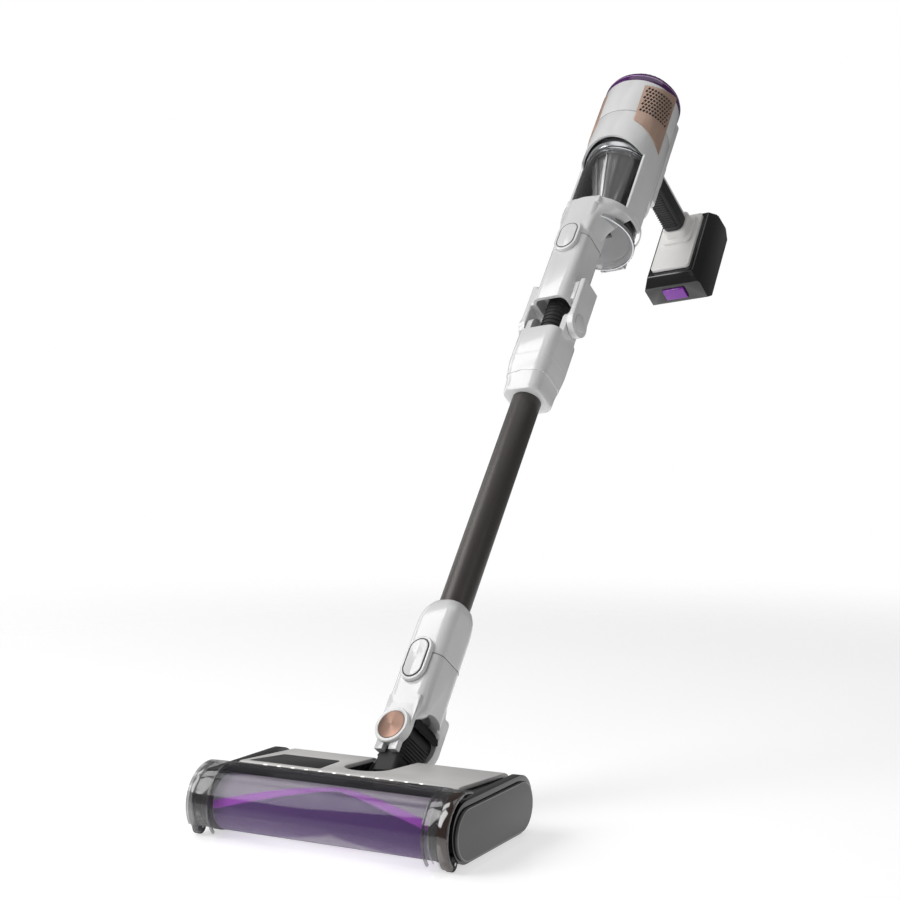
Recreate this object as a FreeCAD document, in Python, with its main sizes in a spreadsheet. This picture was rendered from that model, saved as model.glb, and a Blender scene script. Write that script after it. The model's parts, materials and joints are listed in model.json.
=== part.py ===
import FreeCAD, Part
import os
import Sketcher

# Cordless stick vacuum: floor head, jointed neck, folding wand, handheld unit and battery.
# Head parts are drawn with X across the head, Y towards the back and Z up from the floor.
# Wand parts are drawn upright, Z along the wand from the recline pivot, front towards -Y,
# and then leaned back and turned by one shared placement.

doc = FreeCAD.newDocument("StickVacuum")
sheet = doc.addObject("Spreadsheet::Sheet", "Sizes")
parts = {}


class Dim:
    """A number together with the sheet expression that gives it."""

    def __init__(self, value, text):
        self.value = value
        self.text = text

    def _join(self, other, sign, value):
        return Dim(value, "(%s %s %s)" % (self.text, sign, as_dim(other).text))

    def __add__(self, other):
        return self._join(other, "+", self.value + as_dim(other).value)

    def __sub__(self, other):
        return self._join(other, "-", self.value - as_dim(other).value)

    def __mul__(self, other):
        return self._join(other, "*", self.value * as_dim(other).value)

    def __truediv__(self, other):
        return self._join(other, "/", self.value / as_dim(other).value)

    def __radd__(self, other):
        return as_dim(other) + self

    def __rsub__(self, other):
        return as_dim(other) - self

    def __neg__(self):
        return Dim(-self.value, "(0 - %s)" % self.text)


def as_dim(number):
    return number if isinstance(number, Dim) else Dim(float(number), "(%r)" % float(number))


def size(alias, value):
    """Put one driving dimension in the sheet and return it."""
    row = size.row = getattr(size, "row", 0) + 1
    sheet.set("A%d" % row, alias.replace("_", " "))
    sheet.set("B%d" % row, str(value))
    sheet.setAlias("B%d" % row, alias)
    return Dim(float(value), "Sizes." + alias)


# Driving dimensions, millimetres and degrees.
head_half = size("head_half_width", 140)
nose_high = size("nose_axis_height", 27.7)
nose_r = size("nose_radius", 36.4)
glass = size("window_wall", 2.4)
brush_r = size("brush_radius", 26.2)
core_r = size("brush_core_radius", 17)
plate_r = size("end_plate_radius", 23.5)
rear_y = size("rear_arc_back", 106.7)
wheel_r = size("small_wheel_radius", 7)
pivot_y = size("pivot_back", 111.9)
pivot_z = size("pivot_height", 36.2)
size("origin_back", 449.4)
size("lean_angle", 39.36)
turn = size("wand_turn", 8.6)
tube_r = size("tube_radius", 17)
swivel_z = size("swivel_height", 43.5)
ear_r = size("swivel_ear_radius", 19)
neck_half = size("neck_half_width", 24)
neck_front = size("neck_front", 27)
neck_back = size("neck_back", 20)
neck_seam = size("neck_seam_height", 128)
neck_top = size("neck_top_height", 197)
button_z = size("neck_button_height", 120)
collar_low = size("collar_low_height", 485)
collar_top = size("collar_top_height", 574)
fold_z = size("fold_axis_height", 597)
upper_low = size("upper_wand_low_height", 622)
inlet_z = size("inlet_seam_height", 727)
latch_z = size("wand_latch_height", 722)
shell_r = size("housing_radius", 51.5)
shell_y = size("housing_axis_back", 25)
cup_low = size("cup_low_height", 772)
sill_z = size("window_sill_height", 796)
ring_z = size("cup_ring_height", 895)
motor_z = size("motor_seam_height", 960)
shell_top = size("housing_top_height", 1030)
crown_top = size("crown_top_height", 1047)
grip_z = size("grip_axis_height", 957.4)
grip_end = size("grip_end_back", 176)
plate_y = size("battery_plate_back", 197)
pack_half = size("battery_half_width", 42)
pack_low = size("battery_low_height", 867)
pack_high = size("battery_top_height", 1000)
pack_back = size("battery_back", 251)
doc.recompute()


def bind(obj, prop, dim):
    dim = as_dim(dim)
    obj.setExpression(prop, dim.text)
    return obj


def place(obj, at, axis=None, angle=0):
    """Bind an object's place inside its own drawing frame."""
    spot = "vector(%s)" % "; ".join(as_dim(number).text for number in at)
    way = "vector(%s)" % "; ".join(str(number) for number in (axis or (0, 0, 1)))
    obj.setExpression("Placement", "placement(%s; rotation(%s; %s))" % (spot, way, as_dim(angle).text))
    return obj


def add(kind, **sizes):
    obj = doc.addObject("Part::" + kind, kind)
    for prop, dim in sizes.items():
        bind(obj, prop, dim)
    return obj


def block(x, y, z):
    """A box between two limits on each axis."""
    obj = add("Box", Length=as_dim(x[1]) - x[0], Width=as_dim(y[1]) - y[0], Height=as_dim(z[1]) - z[0])
    return place(obj, (x[0], y[0], z[0]))


def rod(axis, radius, low, high, at=(0, 0)):
    """A cylinder along x, y or z between two limits; at gives its other two coordinates."""
    obj = add("Cylinder", Radius=radius, Height=as_dim(high) - low)
    if axis == "x":
        return place(obj, (low, at[0], at[1]), (0, 1, 0), 90)
    if axis == "y":
        return place(obj, (at[0], low, at[1]), (-1, 0, 0), 90)
    return place(obj, (at[0], at[1], low))


def cut(base, *tools):
    for tool in tools:
        result = doc.addObject("Part::Cut", "Cut")
        result.Base = base
        result.Tool = tool
        base = result
    return base


def fuse(*pieces):
    result = doc.addObject("Part::MultiFuse", "Fuse")
    result.Shapes = list(pieces)
    return result


def common(base, tool):
    result = doc.addObject("Part::Common", "Common")
    result.Base = base
    result.Tool = tool
    return result


def group(*pieces):
    result = doc.addObject("Part::Compound", "Group")
    result.Links = list(pieces)
    return result


def round_edges(base, radius, axis):
    """Fillet the straight edges of a solid that run along one axis."""
    doc.recompute()
    lines = []
    for number, edge in enumerate(base.Shape.Edges, 1):
        span = edge.BoundBox
        reach = {"x": span.XLength, "y": span.YLength, "z": span.ZLength}
        if edge.Curve.TypeId == "Part::GeomLine" and reach[axis] > 0.999 * edge.Length:
            lines.append((number, as_dim(radius).value, as_dim(radius).value))
    result = doc.addObject("Part::Fillet", "Fillet")
    result.Base = base
    result.Edges = lines
    return result


def rounded(x, y, z, radius, axis="z"):
    return round_edges(block(x, y, z), radius, axis)


def outline_body(name, plane, points, low, high):
    """A PartDesign body padded from a closed outline of straight sides on an origin plane."""
    body = doc.addObject("PartDesign::Body", name)
    base_plane = [item for item in body.Origin.OriginFeatures if item.Role == plane + "_Plane"][0]
    sketch = body.newObject("Sketcher::SketchObject", name + "Sketch")
    sketch.AttachmentSupport = (base_plane, "")
    sketch.MapMode = "FlatFace"
    spots = [FreeCAD.Vector(as_dim(a).value, as_dim(b).value, 0) for a, b in points]
    count = len(spots)
    for index in range(count):
        sketch.addGeometry(Part.LineSegment(spots[index], spots[(index + 1) % count]), False)
    for index in range(count):
        sketch.addConstraint(Sketcher.Constraint("Coincident", index, 2, (index + 1) % count, 1))
    for index, pair in enumerate(points):
        for kind, dim in zip(("DistanceX", "DistanceY"), pair):
            number = sketch.addConstraint(Sketcher.Constraint(kind, -1, 1, index, 1, as_dim(dim).value))
            sketch.setExpression("Constraints[%d]" % number, as_dim(dim).text)
    pad = body.newObject("PartDesign::Pad", name + "Pad")
    pad.Profile = sketch
    bind(pad, "Length", as_dim(high) - low)
    sketch.setExpression("AttachmentOffset.Base.z", as_dim(low).text)
    sketch.Visibility = False
    body.Tip = pad
    return body


def turned_body(name, points):
    """A PartDesign body revolved about Z from a half outline of (radius, height) points."""
    body = doc.addObject("PartDesign::Body", name)
    base_plane = [item for item in body.Origin.OriginFeatures if item.Role == "XZ_Plane"][0]
    sketch = body.newObject("Sketcher::SketchObject", name + "Sketch")
    sketch.AttachmentSupport = (base_plane, "")
    sketch.MapMode = "FlatFace"
    spots = [FreeCAD.Vector(as_dim(a).value, as_dim(b).value, 0) for a, b in points]
    count = len(spots)
    for index in range(count):
        sketch.addGeometry(Part.LineSegment(spots[index], spots[(index + 1) % count]), False)
    for index in range(count):
        sketch.addConstraint(Sketcher.Constraint("Coincident", index, 2, (index + 1) % count, 1))
    for index, pair in enumerate(points):
        for kind, dim in zip(("DistanceX", "DistanceY"), pair):
            number = sketch.addConstraint(Sketcher.Constraint(kind, -1, 1, index, 1, as_dim(dim).value))
            sketch.setExpression("Constraints[%d]" % number, as_dim(dim).text)
    solid = body.newObject("PartDesign::Revolution", name + "Revolution")
    solid.Profile = sketch
    solid.ReferenceAxis = (sketch, ["V_Axis"])
    solid.Angle = 360
    body.Tip = solid
    return body


def head_part(node, obj):
    """Register a head sub-part, shifted so that the origin lies under the middle of the whole."""
    parts[node] = wrap(node, obj)
    parts[node].setExpression("Placement", "placement(vector(0; -Sizes.origin_back; 0); rotation(0; 0; 0))")


def wand_part(node, obj):
    """Register a wand sub-part: turned about the wand, leaned back and set on the pivot."""
    parts[node] = wrap(node, obj)
    parts[node].setExpression(
        "Placement",
        "placement(vector(0; Sizes.pivot_back - Sizes.origin_back; Sizes.pivot_height);"
        " rotation(vector(1; 0; 0); -Sizes.lean_angle) * rotation(vector(0; 0; 1); -Sizes.wand_turn))")


def wrap(node, obj):
    """One compound around each finished solid, so that its own placement stays its drawing place."""
    result = doc.addObject("Part::Compound", node)
    result.Label = node
    result.Links = [obj]
    return result


def span(side, inner, outer):
    """The X limits of a piece that lies between two distances from the middle plane."""
    inner, outer = as_dim(inner), as_dim(outer)
    return (inner, outer) if side > 0 else (-outer, -inner)


# ---------------------------------------------------------------- floor head

ring_half = head_half - 3
cheek_in = head_half - 12
window_half = head_half - 28


def nose_sleeve(x_low, x_high, outer, inner):
    """The part of a sleeve round the brush axis that lies above and in front of the brush."""
    sleeve = cut(rod("x", outer, x_low, x_high, (0, nose_high)),
                 rod("x", inner, as_dim(x_low) - 1, as_dim(x_high) + 1, (0, nose_high)))
    behind = outline_body("NoseBehind", "YZ", [(12, 80), (12, nose_high), (5, 10.5), (-60, 10.5), (-60, -20),
                                               (60, -20), (60, 80)], -200, 200)
    return cut(sleeve, behind)


head_part("brush_window", nose_sleeve(-window_half, window_half, nose_r, nose_r - glass))
head_part("window_ends", group(*[nose_sleeve(x[0], x[1], nose_r, nose_r - glass) for x in
                                 (span(-1, window_half, ring_half), span(1, window_half, ring_half))]))

chassis = outline_body("Chassis", "YZ", [(16, 5), (110, 5), (126, 9), (132, 20), (132, 34), (124, 48), (114, 51),
                                         (20, 57), (12.4, 59)], -cheek_in, cheek_in)
high_bay = head_half - 30
chassis = cut(chassis,
              rod("x", nose_r - glass, -200, 200, (0, nose_high)),
              block((-23.5, 23.5), (62, 140), (12, 70)),
              block((34, high_bay), (48, 112), (9, 70)),
              block((-high_bay, -34), (48, 112), (9, 70)),
              block((112, 126.5), (16, 95), (14, 44)),
              block((-12, 12), (96.5, 111.5), (0, 13)),
              rod("x", 3, 100, 118, (78, nose_high)),
              rod("y", 14, 20, 70, (0, 28)))
ears = [rod("x", 11, x[0], x[1], (pivot_y, pivot_z)) for x in (span(-1, 24, 30), span(1, 24, 30))]
chassis = cut(fuse(chassis, *ears), rod("x", 4.05, -31, 31, (pivot_y, pivot_z)))
head_part("head_chassis", chassis)

screw_spots = [(-118, 36), (118, 36), (-118, 108), (118, 108), (-40, 36), (40, 36)]
sole = cut(rounded((-cheek_in, cheek_in), (27, 116), (2.4, 4.9), 6),
           block((-16, 16), (96, 130), (0, 6)),
           *[rod("z", 1.4, 0, 10, at) for at in screw_spots])
head_part("sole_plate", sole)

cover = outline_body("TopCover", "YZ", [(21, 57.2), (114, 51.3), (123, 48.8), (122, 52.5), (116, 55), (24, 61.2),
                                        (21, 60.5)], -(head_half - 22), head_half - 22)
notch = fuse(block((-23.5, 23.5), (66, 140), (30, 80)), rod("z", 23.5, 30, 80, (0, 66)))
panel_hole = outline_body("PanelHole", "XY", [(-112, 29), (-32, 29), (-40, 78), (-104, 78)], 50, 70)
head_part("top_cover", cut(cover, notch, panel_hole))
panel = outline_body("PanelSkin", "YZ", [(29.3, 56.8), (77.7, 53.7), (77.7, 58.0), (29.3, 61.1)], -111.2, -32.8)
panel_edge = outline_body("PanelEdge", "XY", [(-111.6, 29.3), (-32.5, 29.3), (-40.3, 77.7), (-103.7, 77.7)], 50, 70)
head_part("sensor_panel", common(panel, panel_edge))

def lamps(low, high):
    return [rod("z", 1.6, low, high, (-84 + 167 * index / 11, 16)) for index in range(12)]


led_bar = outline_body("LedBar", "YZ", [(12.4, 59.2), (20.6, 57.2), (20.6, 60.4), (12.6, 62.3)],
                       -window_half, window_half)
head_part("led_bar", cut(led_bar, *lamps(60, 70)))
head_part("led_lenses", group(*lamps(60, 62)))

cheeks = []
plates = []
for side in (-1, 1):
    low, high = span(side, cheek_in, ring_half)
    cheek = round_edges(block((low, high), (-27, 134), (2, 56.4)), 26.5, "x")
    journal = rod("x", 6, low - 1, high + 1, (0, nose_high))
    fork = block((low + 0.8, high - 0.8), (-40, -13), (-1, 17))
    cheeks.append(cut(cheek, journal, fork))
    low, high = span(side, ring_half, head_half)
    plate = round_edges(block((low, high), (-plate_r, rear_y + plate_r), (nose_high - plate_r, nose_high + plate_r)),
                        plate_r - 0.05, "x")
    plates.append(plate)
head_part("end_cheeks", group(*cheeks))
head_part("end_plates", group(*plates))

core = cut(rod("x", core_r, 12 - cheek_in, cheek_in - 12, (0, nose_high)),
           rod("x", 4, -200, 200, (0, nose_high)))
head_part("brush_core", core)
head_part("brush_pile", cut(rod("x", brush_r, 14 - cheek_in, cheek_in - 14, (0, nose_high)),
                            rod("x", core_r, -200, 200, (0, nose_high))))
head_part("brush_shaft", rod("x", 4, -(head_half - 5), head_half - 5, (0, nose_high)))
head_part("brush_bearings", group(*[cut(rod("x", 6, x[0], x[1], (0, nose_high)), rod("x", 4.05, -200, 200, (0, nose_high)))
                                    for x in (span(-1, cheek_in, ring_half), span(1, cheek_in, ring_half))]))
motor_at = (78, nose_high)
head_part("brush_pulley", cut(rod("x", 9, 117, 125, (0, nose_high)), rod("x", 4, -200, 200, (0, nose_high))))
head_part("brush_motor", rod("x", 16, 48, 106, motor_at))
head_part("motor_pulley", fuse(rod("x", 9, 117, 125, motor_at), rod("x", 2.5, 106.4, 117, motor_at)))


def belt_loop(radius):
    solid = block((118, 124), (-as_dim(radius), radius + 78), (nose_high - radius, nose_high + radius))
    return round_edges(solid, radius - 0.02, "x")


head_part("drive_belt", cut(belt_loop(as_dim(10.6)), belt_loop(as_dim(9.3))))
head_part("head_duct", cut(rod("y", 13.6, 30.5, 78, (0, 28)), rod("y", 11.6, 20, 90, (0, 28))))

front_at = (-21.5, wheel_r)
rear_at = (104, as_dim(6))
wheels = [cut(rod("x", wheel_r, x[0], x[1], front_at), rod("x", 1.55, -200, 200, front_at)) for x in
          (span(-1, cheek_in + 1.3, ring_half - 1.3), span(1, cheek_in + 1.3, ring_half - 1.3))]
head_part("front_wheels", group(*wheels))
rollers = cut(rod("x", 6, -11, 11, rear_at), rod("x", 1.55, -200, 200, rear_at))
head_part("rear_roller", rollers)
head_part("wheel_axles", group(*[rod("x", 1.5, x[0], x[1], front_at) for x in
                                 (span(-1, cheek_in, ring_half), span(1, cheek_in, ring_half))],
                               rod("x", 1.5, -15, 15, rear_at)))
head_part("recline_pins", group(rod("x", 4, -30, -15, (pivot_y, pivot_z)), rod("x", 4, 15, 30, (pivot_y, pivot_z))))
screws = [fuse(rod("z", 3, 1.2, 2.4, at), rod("z", 1.4, 2.4, 4.9, at)) for at in screw_spots]
head_part("head_screws", group(*screws))


# ---------------------------------------------------------------- neck and wand, drawn upright


def stadium(radius, straight, y_low, y_high, z):
    """An oval button shape standing on the front, long along the wand."""
    half = as_dim(straight) / 2
    return round_edges(block((-as_dim(radius), radius), (y_low, y_high), (z - half - radius, z + half + radius)),
                       as_dim(radius) - 0.02, "y")


def head_aimed(obj):
    """Turn a piece of the knuckle back so that it lines up with the head's recline axis."""
    return place(group(obj), (0, 0, 0), (0, 0, 1), turn)


barrel = head_aimed(rod("x", 15, -22, 22))
lug = rounded((-14, 14), (-21.5, 21.5), (0, swivel_z), 5)
boss = rod("y", 14, -21.5, 21.5, (0, swivel_z))
knuckle = cut(fuse(barrel, lug, boss), head_aimed(rod("x", 4.05, -23, 23)), rod("y", 4.05, -30, 30, (0, swivel_z)),
              rod("z", 9, 6, 80))
wand_part("knuckle", knuckle)

front_ear = fuse(rod("y", ear_r, -neck_front - 3, -22, (0, swivel_z)),
                 block((-ear_r, ear_r), (-neck_front, -22), (swivel_z, 80)))
rear_ear = fuse(rod("y", ear_r, 22, 31, (0, swivel_z)), block((-ear_r, ear_r), (22, 31), (swivel_z, 64)),
                round_edges(block((-ear_r, ear_r), (12, 31), (62, 80)), 4, "x"))
teeth = [block(x, (-neck_front - 2, -22), (swivel_z - 25, swivel_z - 12)) for x in ((-13, -4), (4, 13))]
neck_block = rounded((-neck_half, neck_half), (-neck_front, neck_back), (64, neck_seam - 0.2), 12)
neck = cut(fuse(neck_block, front_ear, rear_ear, *teeth),
           rod("x", 22, -60, 60, (0, swivel_z + 4)),
           rod("z", 15.6, 60, 140),
           rod("z", 19, neck_seam - 20, 140),
           rod("y", 4, -60, 60, (0, swivel_z)),
           rod("y", 15.2, -60, -neck_front - 0.6, (0, swivel_z)))
wand_part("swivel_pin", rod("y", 4, -neck_front - 0.5, 31, (0, swivel_z)))
wand_part("disc_cap", rod("y", 15, -neck_front - 5.4, -neck_front - 0.6, (0, swivel_z)))

ferrule_block = fuse(rounded((-neck_half, neck_half), (-neck_front, neck_back), (neck_seam + 0.2, neck_top - 18), 12),
                     round_edges(block((-neck_half + 3, neck_half - 3), (-neck_front + 3, neck_back),
                                       (neck_top - 18, neck_top)), 11, "z"),
                     rod("z", 18.8, neck_seam - 19.5, neck_seam + 1))
bezel_box = stadium(15, 21, -neck_front - 4.5, -neck_front + 4, button_z)
button_hole = stadium(11.2, 21, -60, -21, button_z)
ferrule = cut(fuse(ferrule_block, bezel_box), rod("z", tube_r, 150, 260), rod("z", 15.6, 90, 160), button_hole)
wand_part("wand_ferrule", ferrule)
wand_part("neck_body", cut(neck, stadium(15.3, 21, -60, -neck_front + 4.3, button_z)))
wand_part("neck_button", stadium(10.8, 21, -neck_front - 5.2, -neck_front + 1.5, button_z))
wand_part("neck_button_spring", cut(rod("y", 3, -neck_front + 1.6, -neck_front + 4.2, (0, button_z)),
                                    rod("y", 2, -60, 0, (0, button_z))))
wand_part("wand_tube", cut(rod("z", tube_r, 150.2, 540), rod("z", tube_r - 1.6, 140, 560)))


# ---------------------------------------------------------------- fold joint and upper wand

collar_block = fuse(rounded((-29, 29), (-28, 26), (collar_low + 45, collar_top), 14),
                    rounded((-27, 27), (-26, 25), (collar_low + 22, collar_low + 45), 13),
                    rounded((-24.5, 24.5), (-23.5, 24), (collar_low, collar_low + 22), 12))
collar_ears = [fuse(rod("x", 14, x[0], x[1], (0, fold_z)), block(x, (-14, 14), (collar_top - 10, fold_z)))
               for x in (span(-1, 21, 28.6), span(1, 21, 28.6))]
collar = cut(fuse(collar_block, *collar_ears),
             rod("z", tube_r, 470, 545),
             rod("z", 15.6, 540, 556),
             round_edges(block((-20.6, 20.6), (-22, 20), (555, 640)), 8, "z"),
             rod("y", 20, -60, -17.6, (0, collar_low + 4)),
             rod("x", 4, -60, 60, (0, fold_z)),
             block((-9, 9), (20, 60), (527, 566)))
wand_part("fold_collar", collar)
wand_part("fold_pins", group(rod("x", 4, -36, -21, (0, fold_z)), rod("x", 4, 21, 36, (0, fold_z))))
rings = [rod("z", 14.6, 558 + 6 * index, 561 + 6 * index) for index in range(13)]
wand_part("fold_hose", cut(fuse(rod("z", 13.2, 556.3, 634), *rings), rod("z", 11.4, 540, 660)))
wand_part("fold_lever", round_edges(block((-8.5, 8.5), (20.5, 33), (531, 565)), 5, "z"))

arms = []
for side in (-1, 1):
    x = span(side, 29.4, 37.2)
    arms.append(fuse(rod("x", 17, x[0], x[1], (0, fold_z)),
                     round_edges(block(x, (-17, 17), (fold_z, upper_low + 34)), 3, "z")))
upper = cut(fuse(rounded((-neck_half, neck_half), (-28, 19.5), (upper_low, inlet_z - 0.2), 12),
                 *arms),
            round_edges(block((-20.6, 20.6), (-24, 16.5), (600, 640)), 8, "z"),
            rod("z", 16, 600, 740),
            rod("x", 4.05, -36.1, 36.1, (0, fold_z)))
bridges = [block(x, (-17, 17), (upper_low + 2, upper_low + 30)) for x in (span(-1, 20.6, 30), span(1, 20.6, 30))]
wand_part("upper_wand", cut(fuse(upper, *bridges),
                            stadium(15.9, 17, -60, -23, latch_z),
                            block((-28.9, 28.9), (-60, 60), (560, upper_low))))


# ---------------------------------------------------------------- handheld unit

unit = (0, shell_y)


def ring(outer, inner, low, high, at=unit):
    return cut(rod("z", outer, low, high, at), rod("z", inner, as_dim(low) - 1, as_dim(high) + 1, at))


inlet = fuse(rounded((-neck_half, neck_half), (-28, 19.5), (inlet_z + 0.2, sill_z - 3), 12),
             stadium(15.6, 17, -32.5, -24, latch_z))
shell = fuse(ring(shell_r, shell_r - 3, sill_z - 10, motor_z - 0.2),
             round_edges(block((-neck_half, neck_half), (-26.3, 2), (sill_z - 12, sill_z - 2)), 3, "z"))
window = block((-60, 60), (-60, 4), (sill_z, ring_z))
arch = common(block((-60, 60), (-60, 4), (ring_z, ring_z + 17)), rod("y", 62, -60, 4, (0, ring_z - 45)))
cup_bay = rod("z", 46.2, 760, motor_z - 40, unit)
shell = cut(fuse(inlet, shell), window, arch, cup_bay,
            block((-60, 60), (40, 100), (700, 846)),
            rod("z", 16, 700, 800),
            stadium(11.7, 17, -60, -22, latch_z))
wand_part("front_shell", shell)
wand_part("wand_latch", stadium(11.3, 17, -33.4, -25, latch_z))

wand_part("dust_cup", cut(ring(45.6, 43.4, cup_low, ring_z + 10), rod("y", 12, -60, -10, (0, cup_low + 14))))
wand_part("cup_ring", ring(43.3, 40.3, ring_z - 3, ring_z + 24))
door = fuse(rod("z", 48.5, cup_low - 6, cup_low - 0.4, unit), ring(43, 41, cup_low - 1, cup_low + 4))
knuckle_y = shell_y + 50
door = cut(fuse(door, rod("x", 3.2, -12, 12, (knuckle_y, cup_low - 3.2))),
           rod("x", 1.55, -60, 60, (knuckle_y, cup_low - 3.2)),
           block((-26, 26), (-60, 21), (700, 800)))
wand_part("cup_door", door)
wand_part("door_pin", rod("x", 1.5, -16.5, 16.5, (knuckle_y, cup_low - 3.2)))
wand_part("cyclone_cone", turned_body("Cone", [(0, 806), (11, 806), (14, 812), (36, ring_z), (36, 914), (0, 914)]))
place(parts["cyclone_cone"].Links[0], (0, shell_y, 0))
wand_part("premotor_filter", rod("z", 40, 921, 936, unit))
wand_part("impeller", cut(rod("z", 30, 938.5, 946, unit), ring(26, 14, 944, 950)))
wand_part("fan_motor", rod("z", 31, 948, 1002, unit))
wand_part("exhaust_filter", ring(44, 12, 1008, 1027))
wand_part("motor_cover", ring(shell_r, shell_r - 3, motor_z + 0.2, shell_top))
wand_part("top_crown", turned_body("Crown", [(0, shell_top + 0.2), (shell_r, shell_top + 0.2), (50, shell_top + 6),
                                             (45.5, shell_top + 12), (37, crown_top - 1), (30, crown_top),
                                             (0, crown_top)]))
place(parts["top_crown"].Links[0], (0, shell_y, 0))
vents = []
for side in (-1, 1):
    x = span(side, 26, 70)
    outline = outline_body("Vent", "YZ", [(-18.5, 943), (24, 915), (24, 1027), (-18.5, 1012)], x[0], x[1])
    vents.append(common(ring(shell_r + 1.2, shell_r + 0.02, 900, 1040), outline))
wand_part("side_vents", group(*vents))

spine = fuse(round_edges(block((-33, 33), (56, 80), (880, shell_top)), 9, "z"),
             round_edges(block((-17, 17), (66, 96), (932, 983)), 8, "y"),
             round_edges(block((-17, 17), (66, 80), (cup_low + 2, 900)), 5, "z"))
hinge_ears = [rod("x", 3.2, x[0], x[1], (knuckle_y, cup_low - 3.2)) for x in (span(-1, 12.4, 17), span(1, 12.4, 17))]
ear_webs = [block(x, (72, 78), (cup_low - 3.2, cup_low + 6)) for x in (span(-1, 12.4, 17), span(1, 12.4, 17))]
spine = cut(fuse(spine, *hinge_ears, *ear_webs),
            rod("z", shell_r, 700, 1060, unit),
            rod("x", 1.5, -60, 60, (knuckle_y, cup_low - 3.2)),
            block((-6.4, 6.4), (83, 120), (925, 948)))
wand_part("rear_spine", spine)
wand_part("power_trigger", round_edges(block((-6, 6), (83.6, 95.6), (926.4, 944)), 2.5, "x"))

wand_part("grip", round_edges(block((-14.5, 14.5), (96, grip_end), (grip_z - 17.5, grip_z + 12)), 10, "y"))
wand_part("grip_spine", round_edges(block((-10, 10), (96, grip_end), (grip_z + 12.05, grip_z + 18)), 2.6, "y"))
foot = fuse(round_edges(block((-28.5, 28.5), (plate_y - 5, plate_y), (884.5, 987)), 5, "y"),
            round_edges(block((-22, 22), (plate_y - 9, plate_y - 5), (grip_z - 28, grip_z + 24)), 8, "y"),
            round_edges(block((-17, 17), (grip_end, plate_y - 9), (grip_z - 20, grip_z + 20)), 9, "y"))
rail = fuse(block((-6, 6), (plate_y, plate_y + 3), (890, 980)), block((-10, 10), (plate_y + 3, plate_y + 6), (890, 980)))
wand_part("battery_mount", fuse(foot, rail))
case = outline_body("Case", "YZ", [(plate_y + 0.4, 878), (plate_y + 12, pack_low), (pack_back - 10, pack_low),
                                   (pack_back, pack_low + 12), (pack_back, pack_high - 12),
                                   (pack_back - 12, pack_high), (plate_y + 12, pack_high - 2),
                                   (plate_y + 0.4, 992)], -pack_half, pack_half)
sides = [outline_body("CaseSide", "XY", [(side * 34, 190), (side * 70, 190), (side * 70, 214), (side * 42.5, 214),
                                         (side * 34, plate_y + 0.2)], 800, 1100) for side in (-1, 1)]
cavity = block((-36, 36), (plate_y + 15, pack_back - 4), (pack_low + 22, pack_high - 5))
release_hole = block((-16, 16), (pack_back - 36, pack_back - 16), (pack_low - 5, pack_low + 12))
slot = fuse(block((-6.5, 6.5), (190, plate_y + 3.2), (889, 1010)),
            block((-10.5, 10.5), (plate_y + 2.6, plate_y + 6.5), (889, 1010)))
wand_part("battery_case", cut(case, *sides, cavity, release_hole, slot))
cells = [rod("z", 8.6, pack_low + 24, pack_low + 89, (-27 + 18 * (index % 4), plate_y + 24 + 17.4 * (index // 4)))
         for index in range(8)]
wand_part("battery_cells", group(*cells))
wand_part("battery_release", round_edges(block((-15.6, 15.6), (pack_back - 35.6, pack_back - 16.4),
                                               (pack_low - 3, pack_low + 8)), 2.5, "x"))
wand_part("control_board", block((-22, 22), (shell_y - 20, shell_y + 20), (1003.5, 1005.5)))


# ---------------------------------------------------------------- check and write

doc.recompute()
faults = [obj.Name for obj in doc.Objects if "Invalid" in obj.State or "Error" in obj.State]
faults += [node for node, obj in parts.items() if obj.Shape.isNull() or not obj.Shape.isValid()]
if faults:
    raise RuntimeError("failed: " + ", ".join(faults))

os.makedirs("parts", exist_ok=True)
for node, obj in parts.items():
    obj.Shape.exportStep("parts/%s.step" % node)
box = Part.makeCompound([obj.Shape for obj in parts.values()]).BoundBox
print(len(parts), "parts; box", box)
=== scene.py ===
"""A cordless stick vacuum: the looks that go over the loaded parts.

Every piece is made in the frame of the loaded parts, in metres, and rides on
one of their bodies. Sizes in the piece builders are millimetres: along the
wand they count from the recline axis, upright, and in the floor head they
count from the brush axis.
"""

import json
import math

import bmesh
import bpy
from mathutils import Matrix, Vector


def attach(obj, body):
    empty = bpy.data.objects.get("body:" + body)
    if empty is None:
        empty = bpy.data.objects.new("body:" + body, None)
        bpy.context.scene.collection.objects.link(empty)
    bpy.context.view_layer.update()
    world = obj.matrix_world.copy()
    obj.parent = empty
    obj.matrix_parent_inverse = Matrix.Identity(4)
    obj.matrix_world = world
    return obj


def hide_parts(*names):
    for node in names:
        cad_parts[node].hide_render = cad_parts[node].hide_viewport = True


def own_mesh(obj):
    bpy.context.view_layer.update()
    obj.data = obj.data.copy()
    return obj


bl_info = {
    "name": "Cordless stick vacuum",
    "version": (1, 0, 0),
    "blender": (4, 5, 0),
    "location": "View3D > Sidebar > Vacuum",
    "description": "Makes the finished pieces of a cordless stick vacuum over its working parts",
    "category": "Object",
}

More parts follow.
